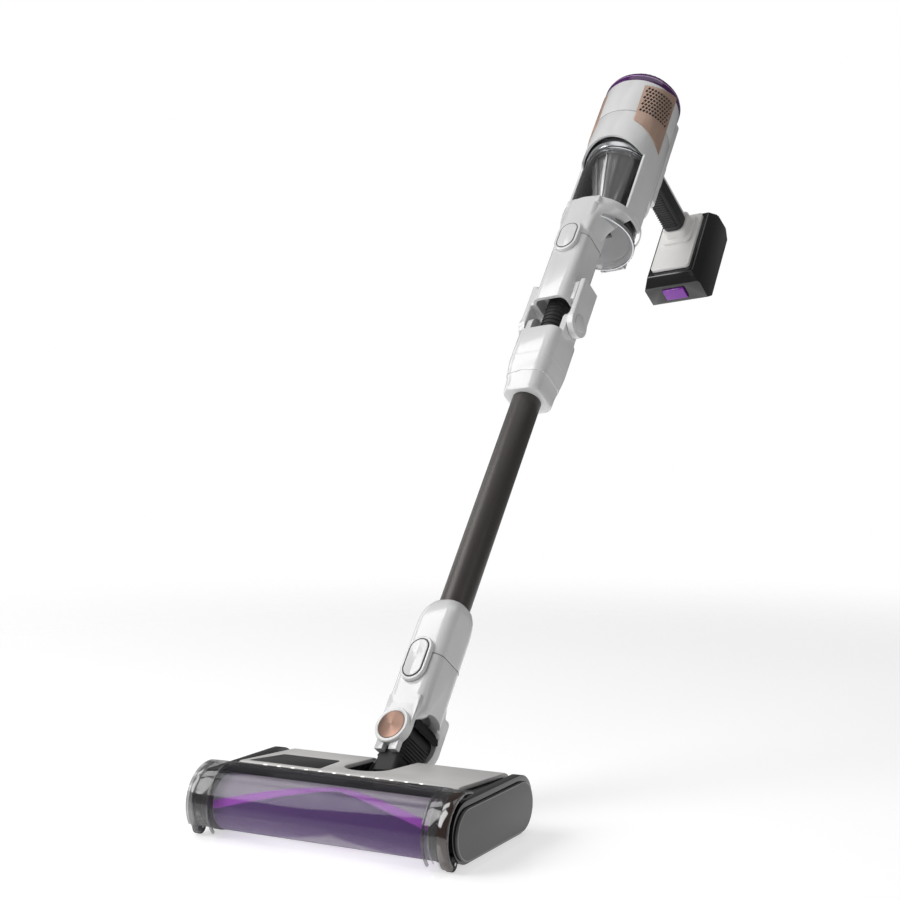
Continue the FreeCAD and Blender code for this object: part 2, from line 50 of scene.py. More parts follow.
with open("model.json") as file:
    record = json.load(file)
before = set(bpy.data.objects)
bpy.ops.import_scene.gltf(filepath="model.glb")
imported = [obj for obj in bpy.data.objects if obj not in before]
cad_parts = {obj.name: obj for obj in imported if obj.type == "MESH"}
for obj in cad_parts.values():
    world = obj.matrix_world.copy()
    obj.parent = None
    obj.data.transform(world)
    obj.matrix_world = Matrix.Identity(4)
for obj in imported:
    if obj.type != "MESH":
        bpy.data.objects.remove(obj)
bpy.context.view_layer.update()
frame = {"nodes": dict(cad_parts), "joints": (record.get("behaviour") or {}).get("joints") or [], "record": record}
NODES = frame["nodes"]
JOINTS = {joint["name"]: joint for joint in frame["joints"]}
BODY_OF = {node: body for body, nodes in frame["record"]["behaviour"]["bodies"].items() for node in nodes}
MM = 0.001
SHARP_EDGE = math.radians(32)
ROUND_STEPS = 96
BRUSH_AXIS_Z = 27.7
DISC_Z = 43.5
NECK_FRONT = -27.0
NECK_BUTTON_Z = 120.0
FOLD_AXIS_Z = 597.0
LATCH_INNER_Y = -26.2
LATCH_SHIFT = 0.5
SIDES = (("left", -1), ("right", 1))


def wand_frame():
    """The matrix that takes upright wand millimetres to the leaning wand."""
    across = Vector(JOINTS["wand_fold"]["axis"])
    back = -Vector(JOINTS["neck_swivel"]["axis"])
    along = Vector(JOINTS["trigger_pull"]["axis"])
    matrix = Matrix((across, back, along)).transposed().to_4x4()
    matrix.translation = Vector(JOINTS["head_recline"]["pos_m"])
    return matrix @ Matrix.Scale(MM, 4)


WAND = wand_frame()
UNIT = WAND @ Matrix.Translation((0, 25, 0))
HEAD = Matrix.Translation((0, Vector(JOINTS["brush_spin"]["pos_m"]).y, 0)) @ Matrix.Scale(MM, 4)
BRUSH = (Matrix.Translation(Vector(JOINTS["brush_spin"]["pos_m"])) @ Matrix.Rotation(math.pi / 2, 4, "Y")
         @ Matrix.Scale(MM, 4))
SLEEVE = (HEAD @ Matrix.Translation((0, 0, BRUSH_AXIS_Z))
          @ Matrix(((0, 0, 1, 0), (-1, 0, 0, 0), (0, 1, 0, 0), (0, 0, 0, 1))))


def at(matrix, spot, turn=0.0, axis="Z"):
    """The matrix of a piece that stands at spot, turned about one of its own axes."""
    moved = matrix @ Matrix.Translation(spot)
    return moved @ Matrix.Rotation(turn, 4, axis) if turn else moved


# ---------------------------------------------------------------- node helpers


class Wire:
    """A node socket that takes ordinary arithmetic; each sign adds its Math node."""

    def __init__(self, tree, socket):
        self.tree = tree
        self.socket = socket

    def math(self, operation, *values):
        """One Math node with this wire as its first value."""
        node = self.tree.nodes.new("ShaderNodeMath")
        node.operation = operation
        for slot, value in zip(node.inputs, (self,) + values):
            plug(self.tree, slot, value)
        return Wire(self.tree, node.outputs[0])

    def swapped(self, operation, value):
        """One Math node with this wire as its second value."""
        node = self.tree.nodes.new("ShaderNodeMath")
        node.operation = operation
        plug(self.tree, node.inputs[0], value)
        plug(self.tree, node.inputs[1], self)
        return Wire(self.tree, node.outputs[0])

    def __add__(self, other):
        return self.math("ADD", other)

    def __sub__(self, other):
        return self.math("SUBTRACT", other)

    def __mul__(self, other):
        return self.math("MULTIPLY", other)

    def __truediv__(self, other):
        return self.math("DIVIDE", other)

    def __rsub__(self, other):
        return self.swapped("SUBTRACT", other)

    __radd__ = __add__
    __rmul__ = __mul__

    def rises(self, low, high):
        """0 below low, 1 above high, smooth between."""
        node = self.tree.nodes.new("ShaderNodeMapRange")
        node.interpolation_type = "SMOOTHSTEP"
        plug(self.tree, node.inputs[0], self)
        node.inputs[1].default_value = low
        node.inputs[2].default_value = high
        return Wire(self.tree, node.outputs[0])


def plug(tree, slot, value):
    """Links a wire to a socket, or sets the socket's own value."""
    if isinstance(value, Wire):
        tree.links.new(value.socket, slot)
    else:
        slot.default_value = value


class Tree:
    """A node tree being written, for a material or for geometry."""

    def __init__(self, tree):
        self.tree = tree

    def add(self, kind, settings=None, values=None, out=0):
        """Adds a node with its settings and its sockets' values or links; out names the wire returned."""
        node = self.tree.nodes.new(kind)
        for name, value in (settings or {}).items():
            setattr(node, name, value)
        for name, value in (values or {}).items():
            plug(self.tree, node.inputs[name], value)
        return node if out is None else Wire(self.tree, node.outputs[out])

    def mix(self, factor, one, two):
        """Mixes two colours."""
        node = self.tree.nodes.new("ShaderNodeMix")
        node.data_type = "RGBA"
        for index, value in ((0, factor), (6, one), (7, two)):
            plug(self.tree, node.inputs[index], value)
        return Wire(self.tree, node.outputs[2])

    def split(self, vector):
        """The x, y and z of a vector."""
        node = self.add("ShaderNodeSeparateXYZ", values={0: vector}, out=None)
        return [Wire(self.tree, socket) for socket in node.outputs]

    def join(self, x, y, z):
        """A vector of three values."""
        return self.add("ShaderNodeCombineXYZ", values={0: x, 1: y, 2: z})


# ---------------------------------------------------------------- finishes


class Finish(Tree):
    """A material being written, read in the metres of the loaded parts."""

    def __init__(self, name, **shader):
        self.material = bpy.data.materials.new(name)
        self.material.use_nodes = True
        super().__init__(self.material.node_tree)
        self.shader = self.tree.nodes["Principled BSDF"]
        for socket, value in shader.items():
            plug(self.tree, self.shader.inputs[socket.replace("_", " ")], value)
        self.place = self.add("ShaderNodeTexCoord", out="Object")

    def noise(self, scale, detail=2.0, vector=None):
        """Noise with features about 1/scale metres across."""
        return self.add("ShaderNodeTexNoise", values={"Vector": vector or self.place, "Scale": scale,
                                                      "Detail": detail})

    def bump(self, height, depth, strength=1.0):
        """Feeds a height to the surface normal; depth in metres."""
        normal = self.add("ShaderNodeBump", values={"Height": height, "Distance": depth,
                                                    "Strength": strength})
        plug(self.tree, self.shader.inputs["Normal"], normal)

    def drive(self, socket, value):
        """Feeds one of the shader's sockets."""
        plug(self.tree, self.shader.inputs[socket], value)

    def local(self, matrix):
        """Object coordinates taken back into a piece's own millimetres."""
        back = matrix.inverted()
        turn = back.to_quaternion().to_euler()
        return self.add("ShaderNodeMapping", {"vector_type": "POINT"}, {
            "Vector": self.place, "Location": back.translation, "Rotation": turn, "Scale": back.to_scale()})


def moulded(name, colour, roughness, grain=0.00002, grain_scale=2600, wear=0.05, **shader):
    """Moulded plastic or rubber: fine grain, uneven polish and a slight drift of colour."""
    finish = Finish(name, **shader)
    cloud = finish.noise(18, 3)
    fine = finish.noise(grain_scale, 2)
    dark = tuple(c * (1 - wear) for c in colour) + (1,)
    light = tuple(min(1, c * (1 + wear)) for c in colour) + (1,)
    finish.drive("Base Color", finish.mix(cloud.rises(0.35, 0.65), dark, light))
    finish.drive("Roughness", roughness + (cloud - 0.5) * roughness * 0.35 + (fine - 0.5) * 0.05)
    finish.bump(fine + finish.noise(140, 2) * 0.6, grain)
    return finish


def see_through(name, colour, alpha, edge, roughness=0.04, ior=1.9):
    """Clear or smoked plastic: thin face on, deeper at the edges, with fine moulding flow."""
    finish = Finish(name, IOR=ior, Coat_Weight=0.4)
    rim = finish.add("ShaderNodeLayerWeight", values={"Blend": 0.35}, out="Facing")
    flow = finish.noise(25, 2)
    finish.drive("Base Color", finish.mix(flow, tuple(c * 0.92 for c in colour) + (1,), tuple(colour) + (1,)))
    finish.drive("Alpha", alpha + rim.math("POWER", 2.2) * edge)
    finish.drive("Roughness", roughness + flow * 0.03)
    finish.bump(flow, 0.00004)
    return finish


def spun_metal(name, colour, centre_matrix):
    """Metal turned on a lathe: fine rings about the disc's middle."""
    finish = Finish(name, Metallic=1.0, Anisotropic=0.6)
    x, _, z = finish.split(finish.local(centre_matrix))
    length = finish.add("ShaderNodeVectorMath", {"operation": "LENGTH"}, {0: finish.join(x, 0.0, z)},
                        out="Value")
    rings = finish.add("ShaderNodeTexNoise", {"noise_dimensions": "1D"},
                       {"W": length, "Scale": 9.0, "Detail": 4.0})
    angle = x.math("ARCTAN2", z)
    # Painted highlight: a bowtie of light drawn into the colour by the angle round the disc.
    painted_bowtie_highlight = (angle * 2.0 + 0.9).math("COSINE") * 0.5 + 0.5
    rings_and_painted_highlight = (painted_bowtie_highlight.math("POWER", 3.0) * 0.75) + rings * 0.25
    # The colour mixes the painted bowtie highlight with the real rings.
    finish.drive("Base Color", finish.mix(rings_and_painted_highlight, tuple(c * 0.62 for c in colour) + (1,),
                                          tuple(min(1, c * 1.25) for c in colour) + (1,)))
    finish.drive("Roughness", rings * 0.15 + 0.26)
    finish.bump(rings, 0.00003)
    return finish


def brushed_tube():
    """Warm grey anodised tube with fine lines along it."""
    finish = Finish("tube_finish", Metallic=0.35)
    x, y, z = finish.split(finish.local(WAND))
    lines = finish.noise(1.6, 3, finish.join(x, y, z * 0.02))
    cloud = finish.noise(14, 3)
    finish.drive("Base Color", finish.mix(lines * 0.6 + cloud * 0.4, (0.056, 0.051, 0.048, 1),
                                          (0.088, 0.08, 0.075, 1)))
    finish.drive("Roughness", lines * 0.16 + 0.34)
    finish.bump(lines, 0.00002)
    return finish


def pile_finish():
    """Soft brush pile: deep purple with paler and brighter bands that meet in a chevron."""
    finish = Finish("pile_finish", Sheen_Weight=0.5)
    x, y, z = finish.split(finish.local(HEAD))
    angle = y.math("ARCTAN2", z - BRUSH_AXIS_Z)
    run = (x - 12.0).math("ABSOLUTE")
    band = ((angle * 2.0 + run * 0.021 + 0.5).math("SINE") * 0.5 + 0.5)
    thin = (angle * 2.0 + run * 0.021 + 1.9).math("SINE")
    fluff = finish.noise(900, 3)
    tone = finish.mix(band.rises(0.55, 0.8), (0.095, 0.018, 0.2, 1), (0.36, 0.3, 0.42, 1))
    tone = finish.mix(thin.rises(0.93, 0.98), tone, (0.5, 0.08, 0.72, 1))
    finish.drive("Base Color", finish.mix(fluff.rises(0.3, 0.8) * 0.45, tone, (0.03, 0.01, 0.06, 1)))
    finish.drive("Roughness", fluff * 0.2 + 0.75)
    finish.bump(fluff, 0.0006)
    return finish


def felt_finish(name, colour):
    """Soft felt with short fibres."""
    finish = Finish(name, Sheen_Weight=0.3)
    fibre = finish.noise(700, 5)
    finish.drive("Base Color", finish.mix(fibre, tuple(c * 0.7 for c in colour) + (1,), tuple(colour) + (1,)))
    finish.drive("Roughness", fibre * 0.1 + 0.88)
    finish.bump(fibre, 0.0004)
    return finish


def metal(name, colour, roughness=0.28):
    """Bare metal with a fine grain."""
    finish = Finish(name, Metallic=1.0)
    grain = finish.noise(900, 3)
    finish.drive("Base Color", finish.mix(grain, tuple(c * 0.85 for c in colour) + (1,),
                                          tuple(colour) + (1,)))
    finish.drive("Roughness", roughness + grain * 0.12)
    finish.bump(grain, 0.00001)
    return finish


def make_palette():
    """Every finish on the vacuum, by a short name."""
    gloss = {"Coat_Weight": 0.35, "Coat_Roughness": 0.08}
    colours = bpy.context.scene.vacuum_colours
    body = tuple(colours.housing)
    accent = tuple(colours.accent)
    lens = moulded("lens_finish", (0.95, 0.95, 0.92), 0.2, 0.0)
    lens.shader.inputs["Emission Strength"].default_value = 1.4
    lens.drive("Emission Color", (1.0, 0.98, 0.92, 1))
    finishes = {
        "white": moulded("white_housing", body, 0.2, 0.000006, 900, 0.02, **gloss),
        "pale": moulded("pale_housing", tuple(c * 0.93 for c in body), 0.3, 0.00001, 1600, 0.03, **gloss),
        "cover": moulded("cover_satin", (0.77, 0.755, 0.74), 0.36, 0.00003, 2200, 0.03),
        "plate": moulded("end_plate_satin", (0.105, 0.105, 0.105), 0.42, 0.00002, 2600, 0.05),
        "rim": moulded("plate_rim", (0.3, 0.3, 0.3), 0.3),
        "black": moulded("black_gloss", (0.011, 0.011, 0.011), 0.16, 0.000008, 1200, 0.1, **gloss),
        "dark": moulded("dark_satin", (0.018, 0.018, 0.019), 0.42, 0.00003, 2200, 0.12),
        # Dark seams and gaps; the same dark finish is painted shade behind the vent slots and in the crown's
        # slots.
        "seam_and_shade": moulded("shadow_gap", (0.05, 0.05, 0.052), 0.6),
        "panel": moulded("sensor_satin", (0.03, 0.03, 0.031), 0.3, 0.00001),
        "rubber": moulded("rubber", (0.02, 0.02, 0.02), 0.62, 0.00006, 1500, 0.15),
        "grip": moulded("grip_skin", (0.022, 0.022, 0.023), 0.5, 0.00008, 1300, 0.12),
        "purple": moulded("purple_gloss", (0.075, 0.012, 0.11), 0.12, 0.000006, 900, 0.1, **gloss),
        "lilac": moulded("lilac_gloss", (0.5, 0.3, 0.62), 0.25, 0.000006, 900, 0.05, **gloss),
        "button": moulded("purple_button_skin", accent, 0.3, 0.00002, 1600, 0.06, **gloss),
        "brown": see_through("brown_smoke", (0.032, 0.016, 0.012), 0.9, 0.1, 0.08),
        "copper": moulded("copper_paint", (0.56, 0.385, 0.3), 0.36, 0.00002, 3500, 0.05, Metallic=0.35),
        "silver": metal("silver_ring", (0.72, 0.73, 0.75), 0.18),
        "steel": metal("steel", (0.55, 0.55, 0.56)),
        "winding": metal("motor_can", (0.5, 0.48, 0.46), 0.35),
        "cone": moulded("cone_grey", (0.5, 0.5, 0.505), 0.2, 0.00001, 900, 0.05, Metallic=0.7),
        "window": see_through("clear_window_skin", (0.1, 0.095, 0.11), 0.1, 0.5),
        "smoke": see_through("smoked_end_skin", (0.075, 0.07, 0.072), 0.42, 0.45),
        "cup": see_through("clear_cup_skin", (0.06, 0.06, 0.062), 0.2, 0.55),
        "door": see_through("door_skin", (0.34, 0.34, 0.35), 0.5, 0.4),
        "tube": brushed_tube(),
        "pile": pile_finish(),
        "bristle": moulded("bristle_purple", (0.24, 0.04, 0.42), 0.5, Sheen_Weight=0.4),
        "magenta": moulded("bristle_magenta", (0.6, 0.05, 0.75), 0.45, Sheen_Weight=0.4),
        "disc": spun_metal("spun_rose", (0.215, 0.135, 0.105), at(WAND, (0, 0, DISC_Z))),
        "felt": felt_finish("filter_felt", (0.78, 0.78, 0.76)),
        "board": moulded("board_mask", (0.03, 0.12, 0.06), 0.4),
        "cell": moulded("cell_wrap", (0.05, 0.18, 0.36), 0.35),
        "lens": lens,
    }
    return {name: finish.material for name, finish in finishes.items()}


PALETTE = {}


def finish_of(name):
    """The material of that name; the palette is made once."""
    if not PALETTE:
        PALETTE.update(make_palette())
    return PALETTE[name]


# ---------------------------------------------------------------- mesh helpers


def plain(obj):
    """obj with its modifiers made into its mesh, smooth except at real edges."""
    graph = bpy.context.evaluated_depsgraph_get()
    mesh = bpy.data.meshes.new_from_object(obj.evaluated_get(graph), depsgraph=graph)
    obj.modifiers.clear()
    obj.data = mesh
    mesh.name = obj.name
    return obj


def smooth(mesh):
    """Smooth shading, but for edges sharper than SHARP_EDGE."""
    mesh.polygons.foreach_set("use_smooth", [True] * len(mesh.polygons))
    mesh.set_sharp_from_angle(angle=SHARP_EDGE)


def settle(obj, body, material):
    """Smooths a finished piece, gives it its material and lets it ride on its body."""
    obj.data.materials.clear()
    obj.data.materials.append(finish_of(material))
    smooth(obj.data)
    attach(obj, body)
    return obj


def from_bmesh(name, work, matrix):
    """A new object from a bmesh drawn in a piece's own millimetres."""
    bmesh.ops.remove_doubles(work, verts=work.verts, dist=0.001)
    work.transform(matrix)
    bmesh.ops.recalc_face_normals(work, faces=work.faces)
    mesh = bpy.data.meshes.new(name)
    work.to_mesh(mesh)
    work.free()
    obj = bpy.data.objects.new(name, mesh)
    bpy.context.scene.collection.objects.link(obj)
    return obj


def copied(node):
    """A merged copy of a loaded part's mesh, as a new object."""
    mesh = NODES[node].data.copy()
    work = bmesh.new()
    work.from_mesh(mesh)
    bmesh.ops.remove_doubles(work, verts=work.verts, dist=0.00002)
    bmesh.ops.dissolve_limit(work, angle_limit=math.radians(0.4), verts=work.verts, edges=work.edges)
    work.to_mesh(mesh)
    work.free()
    mesh.materials.clear()
    obj = bpy.data.objects.new(node + "_skin", mesh)
    bpy.context.scene.collection.objects.link(obj)
    return obj


def soften(node, material, width=0.7, steps=3, carve=None):
    """A copy of a loaded part with rounded edges, which stands for it."""
    obj = copied(node)
    if width:
        bevel = obj.modifiers.new("edges", "BEVEL")
        bevel.width = width * MM
        bevel.segments = steps
        bevel.limit_method = "ANGLE"
        bevel.angle_limit = SHARP_EDGE
        bevel.use_clamp_overlap = True
        bevel.miter_outer = "MITER_ARC"
    if carve:
        cut = obj.modifiers.new("carve", "BOOLEAN")
        cut.operation = "DIFFERENCE"
        cut.object = carve
        cut.solver = "EXACT"
    plain(obj)
    if carve:
        bpy.data.objects.remove(carve)
    settle(obj, BODY_OF[node], material)
    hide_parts(node)
    return obj


def bridge(work, rings, closed=False, capped=True):
    """Joins neighbouring rings of vertices; closed joins the last to the first, capped shuts the two ends."""
    count = len(rings[0])
    for one, two in zip(rings, rings[1:] + (rings[:1] if closed else [])):
        for k in range(count):
            work.faces.new((one[k], one[(k + 1) % count], two[(k + 1) % count], two[k]))
    if capped and not closed:
        work.faces.new(rings[0])
        work.faces.new(rings[-1])


def spin(section, turns, closed=False):
    """A bmesh of a closed (radius, height) section carried about z to each of the given angles."""
    work = bmesh.new()
    rows = [[work.verts.new((r * math.cos(turn), r * math.sin(turn), z)) for r, z in section]
            for turn in turns]
    bridge(work, rows, closed)
    return work


def full_circle(steps):
    """Angles of one turn, without its last."""
    return [math.tau * k / steps for k in range(steps)]


def turned(name, profile, body, material, matrix):
    """A ring or solid of revolution about z from (radius, z) points, closed on itself."""
    ring = spin(profile, full_circle(ROUND_STEPS), closed=True)
    return settle(from_bmesh(name, ring, matrix), body, material)


def bead(path, radius, sides=10):
    """A thin round bead along a closed path of points, as a bmesh."""
    work = bmesh.new()
    points = [Vector(point) for point in path]
    count = len(points)
    rings = []
    side = None
    for k, point in enumerate(points):
        ahead = (points[(k + 1) % count] - points[k - 1]).normalized()
        side = (ahead.orthogonal() if side is None else side - ahead * side.dot(ahead)).normalized()
        other = ahead.cross(side)
        rings.append([work.verts.new(point + (side * math.cos(math.tau * s / sides)
                                              + other * math.sin(math.tau * s / sides)) * radius)
                      for s in range(sides)])
    bridge(work, rings, capped=False)
    last, first = rings[-1], rings[0]
    shift = min(range(sides), key=lambda s: (last[0].co - first[s].co).length)
    bridge(work, [last, first[shift:] + first[:shift]], capped=False)
    return work


def swept(name, path, radius, body, material, matrix, sides=10):
    """A bead along a closed path, as a piece."""
    return settle(from_bmesh(name, bead(path, radius, sides), matrix), body, material)


def oval(radius, straight, y, z, steps=14):
    """Points round an oval button outline, standing at y and centred at z."""
    points = []
    for end in (1, -1):
        for k in range(steps + 1):
            turn = math.pi * k / steps + (0 if end > 0 else math.pi)
            points.append((radius * math.cos(turn), y, z + end * straight / 2 + radius * math.sin(turn)))
    return points


def oval_ring(name, outer, inner, straight, front, back, z, body, material):
    """A flat oval ring standing on the front of the wand, with rounded edges."""
    work = bmesh.new()
    loops = [[work.verts.new(point) for point in oval(radius, straight, y, z)]
             for radius, y in ((outer, back), (outer, front), (inner, front), (inner, back))]
    bridge(work, loops, closed=True)
    return rounded_piece(name, work, WAND, body, material, 1.2, 4)


def block(x, y, z):
    """A bmesh box between the given ends."""
    work = bmesh.new()
    bmesh.ops.create_cube(work, size=1)
    for vert in work.verts:
        vert.co = [(pair[0] + pair[1]) / 2 + co * (pair[1] - pair[0]) for co, pair in zip(vert.co, (x, y, z))]
    return work


def rounded_piece(name, work, matrix, body, material, width=0.5, steps=2):
    """A bmesh made into a piece with rounded edges."""
    obj = from_bmesh(name, work, matrix)
    bevel = obj.modifiers.new("edges", "BEVEL")
    bevel.width = width * MM
    bevel.segments = steps
    bevel.angle_limit = math.radians(30)
    plain(obj)
    return settle(obj, body, material)


def rounded_square(half, front, back, radius, z, steps=10):
    """Points round a rounded square section at height z."""
    points = []
    for cx, cy, start in ((half - radius, back - radius, 0), (-half + radius, back - radius, 90),
                          (-half + radius, front + radius, 180), (half - radius, front + radius, 270)):
        for k in range(steps + 1):
            turn = math.radians(start + 90 * k / steps)
            points.append((cx + radius * math.cos(turn), cy + radius * math.sin(turn), z))
    return points


def lofted(name, sections, body, material, between=6):
    """A closed solid through rounded square sections, each (half width, front, back, corner radius, z)."""
    work = bmesh.new()
    smooth_sections = []
    for k in range(len(sections) - 1):
        p0, p1, p2, p3 = (sections[max(0, k - 1)], sections[k], sections[k + 1],
                          sections[min(len(sections) - 1, k + 2)])
        for step in range(between):
            t = step / between
            smooth_sections.append(tuple(
                0.5 * (2 * b + (c - a) * t + (2 * a - 5 * b + 4 * c - d) * t * t
                       + (3 * b - a - 3 * c + d) * t ** 3)
                for a, b, c, d in zip(p0, p1, p2, p3)))
    smooth_sections.append(sections[-1])
    rings = []
    for half, front, back, radius, z in smooth_sections:
        limit = min(half, (back - front) / 2) - 0.05
        outline = rounded_square(half, front, back, min(radius, limit), z)
        rings.append([work.verts.new(point) for point in outline])
    bridge(work, rings)
    return rounded_piece(name, work, WAND, body, material, 0.6)


def arc_piece(name, section, start, stop, matrix, body, material, steps=48, width=0.3):
    """A closed (radius, height) section swept about z from start to stop degrees."""
    turns = [math.radians(start + (stop - start) * k / steps) for k in range(steps + 1)]
    return rounded_piece(name, spin(section, turns), matrix, body, material, width)


# ---------------------------------------------------------------- repeated details


def repeat_tree(name, material):
    """A geometry tree that repeats a small mesh round and along an axis, and winds its rows in a chevron."""
    group = bpy.data.node_groups.new(name, "GeometryNodeTree")
    face = group.interface
    face.new_socket("Unit", in_out="INPUT", socket_type="NodeSocketObject")
    for label in ("Around", "Along"):
        face.new_socket(label, in_out="INPUT", socket_type="NodeSocketInt").default_value = 1
    for label in ("Turn", "Rise", "Radius", "Wind", "Stagger", "Jitter"):
        face.new_socket(label, in_out="INPUT", socket_type="NodeSocketFloat").default_value = 0.0
    face.new_socket("Geometry", in_out="OUTPUT", socket_type="NodeSocketGeometry")
    tree = Tree(group)
    entry = tree.add("NodeGroupInput", out=None)
    value = {socket.name: Wire(group, socket) for socket in entry.outputs if socket.name}
    points = tree.add("GeometryNodePoints", values={"Count": value["Around"] * value["Along"]})
    index = tree.add("GeometryNodeInputIndex")
    column = index.math("MODULO", value["Around"])
    row = (index / value["Around"]).math("FLOOR")
    middle = row - (value["Along"] - 1) * 0.5
    shift = tree.add("FunctionNodeRandomValue", {"data_type": "FLOAT"}, {"Seed": 7}, out=None)
    shift.inputs[2].default_value = -1.0
    shift.inputs[3].default_value = 1.0
    stray = Wire(group, shift.outputs[1]) * value["Jitter"]
    odd = row.math("MODULO", 2.0) - 0.5
    angle = ((column - (value["Around"] - 1) * 0.5 + odd * value["Stagger"]) * value["Turn"]
             + middle.math("ABSOLUTE") * value["Wind"] + stray)
    spot = tree.join(angle.math("COSINE") * value["Radius"], angle.math("SINE") * value["Radius"],
                     middle * value["Rise"] + stray * 4.0)
    placed = tree.add("GeometryNodeSetPosition", values={"Geometry": points, "Position": spot})
    unit = tree.add("GeometryNodeObjectInfo", {"transform_space": "ORIGINAL"}, {"Object": value["Unit"]},
                    out="Geometry")
    copies = tree.add("GeometryNodeInstanceOnPoints", values={
        "Points": placed, "Instance": unit, "Rotation": tree.join(0.0, 0.0, angle)})
    real = tree.add("GeometryNodeRealizeInstances", values={"Geometry": copies})
    painted = tree.add("GeometryNodeSetMaterial", values={"Geometry": real, "Material": finish_of(material)})
    tree.add("NodeGroupOutput", values={"Geometry": painted}, out=None)
    return group


def repeated(name, unit, body, material, matrix, ride=True, **sizes):
    """Repeats a bmesh unit, drawn with +X outwards, about the z axis of a piece's own millimetres."""
    bmesh.ops.recalc_face_normals(unit, faces=unit.faces)
    unit_mesh = bpy.data.meshes.new(name + "_unit")
    unit.to_mesh(unit_mesh)
    unit.free()
    unit_obj = bpy.data.objects.new(name + "_unit", unit_mesh)
    obj = bpy.data.objects.new(name, bpy.data.meshes.new(name))
    for each in (unit_obj, obj):
        bpy.context.scene.collection.objects.link(each)
    change = obj.modifiers.new("repeat", "NODES")
    group = change.node_group = repeat_tree(name, material)
    for item in group.interface.items_tree:
        if item.in_out == "INPUT":
            if item.name == "Unit":
                change[item.identifier] = unit_obj
            elif item.name in sizes:
                change[item.identifier] = sizes[item.name]
    plain(obj)
    bpy.data.objects.remove(unit_obj)
    obj.data.transform(matrix)
    return settle(obj, body, material) if ride else obj


def tilted(x, y, z, turn=0.0):
    """A box turned about its outward x axis, as a bmesh."""
    work = block(x, y, z)
    bmesh.ops.rotate(work, verts=work.verts, cent=(0, 0, 0), matrix=Matrix.Rotation(turn, 3, "X"))
    return work


def spike(width, low, high):
    """A bristle tuft: a tapered stub with six sides, pointing outwards."""
    work = bmesh.new()
    bmesh.ops.create_cone(work, segments=6, radius1=width, radius2=width * 0.55, depth=high - low,
                          cap_ends=True)
    bmesh.ops.rotate(work, verts=work.verts, cent=(0, 0, 0), matrix=Matrix.Rotation(math.pi / 2, 3, "Y"))
    bmesh.ops.translate(work, verts=work.verts, vec=((low + high) / 2, 0, 0))
    return work


def bead_ring(major, minor, steps=72, sides=10, squash=1.0):
    """A ring of round section about z, as a bmesh."""
    section = [(major + minor * math.cos(turn), minor * squash * math.sin(turn))
               for turn in full_circle(sides)]
    return spin(section, full_circle(steps), closed=True)


# ---------------------------------------------------------------- floor head


def make_head_shell():
    """The head's housing, window, lamps and end plates."""
    soften("head_chassis", "black", 0.8)
    soften("sole_plate", "dark", 0.4)
    soften("top_cover", "cover", 0.7)
    soften("end_cheeks", "black", 0.9)
    soften("sensor_panel", "panel", 0.5)
    soften("led_bar", "black", 0.3)
    soften("led_lenses", "lens", 0.3)
    soften("brush_window", "window", 0)
    soften("window_ends", "smoke", 0.5)
    soften("end_plates", "plate", 0.9, 4)
    for label, side in SIDES:
        edge = [(side * 139.6, y, z) for y, z in stadium_path(22.4, 0.0, 106.7, BRUSH_AXIS_Z)]
        swept("plate_rim_" + label, edge, 0.55, "floor_head", "rim", HEAD)


def stadium_path(radius, y_low, y_high, z, steps=24):
    """(y, z) points round an oval lying along y."""
    points = []
    for k in range(steps + 1):
        turn = math.pi / 2 + math.pi * k / steps
        points.append((y_low + radius * math.cos(turn), z + radius * math.sin(turn)))
    for k in range(steps + 1):
        turn = -math.pi / 2 + math.pi * k / steps
        points.append((y_high + radius * math.cos(turn), z + radius * math.sin(turn)))
    return points


def sleeve_arc(name, x_low, x_high, inner, outer, start, stop, material):
    """Part of a ring about the brush axis; angles in degrees from straight ahead, upwards positive."""
    section = [(inner, x_low), (inner, x_high), (outer, x_high), (outer, x_low)]
    return arc_piece(name, section, start, stop, SLEEVE, "floor_head", material, 64)


def make_head_details():
    """Beads, rings and seams of the window, screws under the sole."""
    for name, x_low, x_high, outer, tone in (
            ("window_rib_left", -113.6, -111.4, 36.9, "smoke"),
            ("window_rib_right", 111.4, 113.6, 36.9, "smoke"),
            ("window_lip_left", -126.6, -125.2, 37.1, "window"),
            ("window_lip_right", 125.2, 126.6, 37.1, "window")):
        sleeve_arc(name, x_low, x_high, 34.2, outer, -42, 88, tone)
    sleeve_arc("end_ring_right", 126.9, 136.4, 33.2, 37.0, -44, 84, "brown")
    sleeve_arc("end_ring_left", -133.6, -127.4, 35.6, 37.0, -44, 84, "smoke")
    for label, side in SIDES:
        low, high = sorted((side * 113.8, side * 125.0))
        section = [(12, low), (12, high), (24.5, high), (27.0, high - 3), (27.0, low)]
        arc_piece("brush_end_cap_" + label, section, 0, 360, BRUSH, "brush_roll", "dark", 72)
        sleeve_arc("cap_ring_" + label, side * 116 - 0.8, side * 116 + 0.8, 31.4, 32.6, -46, 100, "silver")
    soften("head_screws", "steel", 0.2)


def make_brush():
    """The brush roll: soft pile with chevron rows of tufts."""
    pile = soften("brush_pile", "pile", 1.2)
    soften("brush_core", "dark", 0)
    repeated("tuft_rows", spike(1.15, 23.5, 26.0), "brush_roll", "bristle", BRUSH, Around=4, Along=74,
             Turn=math.tau / 4, Rise=3.0, Wind=0.028, Jitter=0.03)
    repeated("bright_rows", spike(0.62, 23.5, 26.15), "brush_roll", "magenta",
             BRUSH @ Matrix.Rotation(0.35, 4, "Z"), Around=4, Along=150, Turn=math.tau / 4, Rise=1.48,
             Wind=0.0138, Jitter=0.012)


def make_rollers():
    """The front wheels, the rear roller and their axles."""
    soften("front_wheels", "rubber", 0.8)
    soften("rear_roller", "rubber", 0.8)
    soften("wheel_axles", "steel", 0)


# ---------------------------------------------------------------- neck and wand


